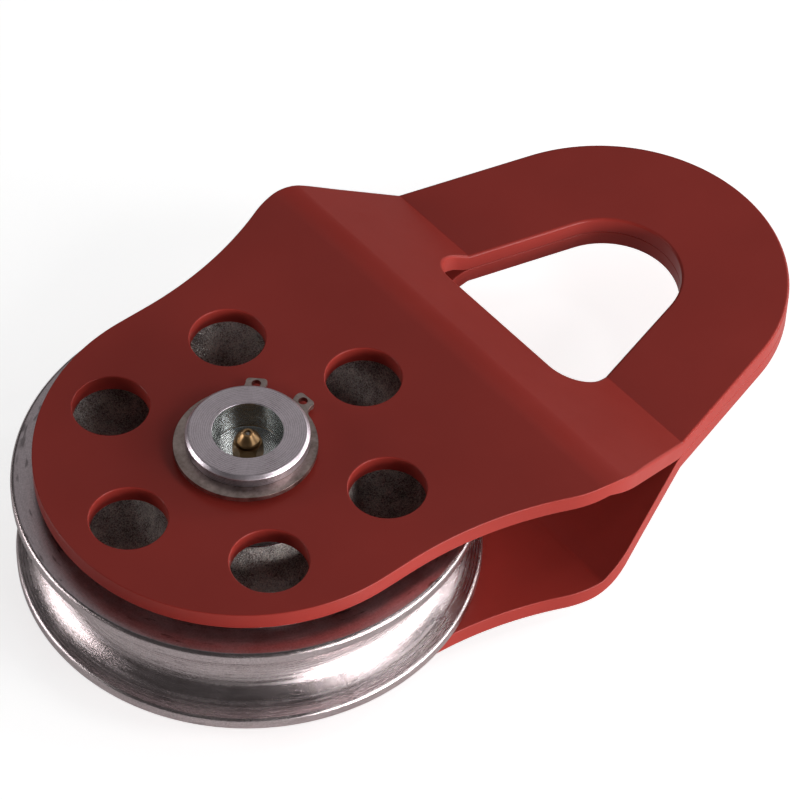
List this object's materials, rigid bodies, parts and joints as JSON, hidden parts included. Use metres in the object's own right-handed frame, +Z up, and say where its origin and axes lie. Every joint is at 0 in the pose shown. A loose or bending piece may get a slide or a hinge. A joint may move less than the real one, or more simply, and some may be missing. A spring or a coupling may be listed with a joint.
{
  "type": "snatch block",
  "caption": "Swing-cheek snatch block: a grooved sheave on a greased axle between two bent plates whose arched eyes close together for a shackle.",
  "frame": {"origin": "centre of the axle's lower end face, which the block rests on", "axes": "+Z up along the axle, towards the grease nipple; +X from the axle towards the shackle eye; +Y completes the right-handed frame, across the cheeks"},
  "size_m": [0.2345, 0.1346, 0.056],
  "materials": {
    "red_paint": "semi-gloss red paint over steel plate",
    "axle_zinc": "turned steel, bright zinc plated",
    "sheave_zinc": "turned groove and rim, zinc plated; rough cast web",
    "spring_steel": "plated spring steel",
    "bush_bronze": "machined bronze",
    "washer_steel": "ground steel",
    "nipple_brass": "turned brass",
    "ball_steel": "polished steel ball",
    "spring_wire": "drawn spring wire"
  },
  "bodies": {
    "lower_cheek": {"lower_cheek": "red_paint"},
    "upper_cheek": {"upper_cheek": "red_paint"},
    "axle": {"axle_pin": "axle_zinc", "upper_circlip": "spring_steel", "lower_circlip": "spring_steel", "grease_nipple": "nipple_brass", "nipple_spring": "spring_wire"},
    "sheave": {"sheave": "sheave_zinc", "sheave_bush": "bush_bronze"},
    "upper_washer": {"upper_thrust_washer": "washer_steel"},
    "lower_washer": {"lower_thrust_washer": "washer_steel"},
    "valve_ball": {"nipple_ball": "ball_steel"}
  },
  "joints": [
    {"name": "axle_turn", "type": "hinge", "parent": "lower_cheek", "child": "axle", "pos_m": [0, 0, 0], "axis": [0, 0, 1], "continuous": true},
    {"name": "upper_cheek_swing", "type": "hinge", "parent": "lower_cheek", "child": "upper_cheek", "pos_m": [0, 0, 0], "axis": [0, 0, 1], "continuous": true},
    {"name": "sheave_spin", "type": "hinge", "parent": "axle", "child": "sheave", "pos_m": [0, 0, 0], "axis": [0, 0, 1], "continuous": true},
    {"name": "upper_washer_turn", "type": "hinge", "parent": "axle", "child": "upper_washer", "pos_m": [0, 0, 0], "axis": [0, 0, 1], "continuous": true},
    {"name": "lower_washer_turn", "type": "hinge", "parent": "axle", "child": "lower_washer", "pos_m": [0, 0, 0], "axis": [0, 0, 1], "continuous": true},
    {"name": "valve_ball_lift", "type": "slide", "parent": "axle", "child": "valve_ball", "axis": [0, 0, -1], "range_m": [0, 0.0009], "stiffness_N_per_m": 100, "deforming": ["nipple_spring"]}
  ]
}
